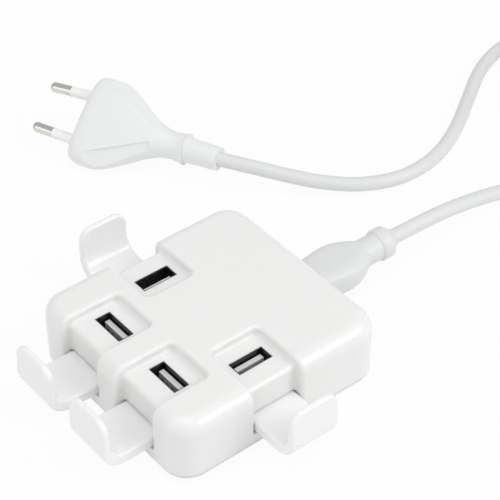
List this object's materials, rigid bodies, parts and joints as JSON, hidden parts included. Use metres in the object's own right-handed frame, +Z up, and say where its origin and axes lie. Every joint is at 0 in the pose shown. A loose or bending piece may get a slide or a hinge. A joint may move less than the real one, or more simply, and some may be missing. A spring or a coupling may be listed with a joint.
{
  "type": "usb power strip",
  "caption": "White USB charging box with pull-out phone holders beside its upward ports, a plugged-in mains lead and a flat two-pin plug.",
  "frame": {"origin": "middle of the grip pad's underside, on the floor", "axes": "+Z up, -X towards the side with two phone holders, +X towards the mains inlet"},
  "size_m": [0.3082, 0.2003, 0.0273],
  "materials": {
    "housing": "gloss",
    "base": "satin",
    "grip_rubber": "matte",
    "steel": "satin",
    "holder": "gloss",
    "shell_steel": "satin",
    "tongue": "satin",
    "contact_gold": "polished",
    "board": "satin",
    "black_plastic": "satin",
    "ferrite": "matte",
    "winding_tape": "gloss",
    "can_sleeve": "gloss",
    "film_case": "gloss",
    "fuse_case": "satin",
    "tinned_pin": "polished",
    "cord_jacket": "satin",
    "tie": "matte",
    "plug": "satin",
    "plug_metal": "polished",
    "sleeve": "satin"
  },
  "bodies": {
    "charger": {"top_housing": "housing", "base_cover": "base", "grip_pad": "grip_rubber", "base_screws": "steel", "board_screws": "steel", "usb_shell_left": "shell_steel", "usb_shell_front_left": "shell_steel", "usb_shell_front_right": "shell_steel", "usb_shell_right": "shell_steel", "usb_tongue_left": "tongue", "usb_tongue_front_left": "tongue", "usb_tongue_front_right": "tongue", "usb_tongue_right": "tongue", "usb_contacts_left": "contact_gold", "usb_contacts_front_left": "contact_gold", "usb_contacts_front_right": "contact_gold", "usb_contacts_right": "contact_gold", "usb_board": "board", "power_board": "board", "charge_controllers": "black_plastic", "bridge_rectifier": "black_plastic", "link_header": "black_plastic", "inlet_socket": "black_plastic", "transformer_core": "ferrite", "transformer_winding": "winding_tape", "bulk_capacitor": "can_sleeve", "output_capacitors": "can_sleeve", "suppression_capacitor": "film_case", "mains_fuse": "fuse_case", "link_pins": "tinned_pin", "inlet_pins": "tinned_pin", "cord_connector": "cord_jacket", "cord_near": "cord_jacket", "cord_coil": "cord_jacket", "cord_far": "cord_jacket", "coil_tie": "tie", "plug_body": "plug", "plug_pins": "plug_metal", "pin_sleeves": "sleeve"},
    "slide_left": {"holder_left": "holder"},
    "slide_front_left": {"holder_front_left": "holder"},
    "slide_front_right": {"holder_front_right": "holder"},
    "slide_right": {"holder_right": "holder"}
  },
  "joints": [
    {"name": "pull_left", "type": "slide", "parent": "charger", "child": "slide_left", "axis": [0, 1, 0], "range_m": [-0.0115, 0]},
    {"name": "pull_front_left", "type": "slide", "parent": "charger", "child": "slide_front_left", "axis": [-1, 0, 0], "range_m": [-0.0115, 0]},
    {"name": "pull_front_right", "type": "slide", "parent": "charger", "child": "slide_front_right", "axis": [-1, 0, 0], "range_m": [-0.0115, 0]},
    {"name": "pull_right", "type": "slide", "parent": "charger", "child": "slide_right", "axis": [0, -1, 0], "range_m": [-0.0115, 0]}
  ]
}
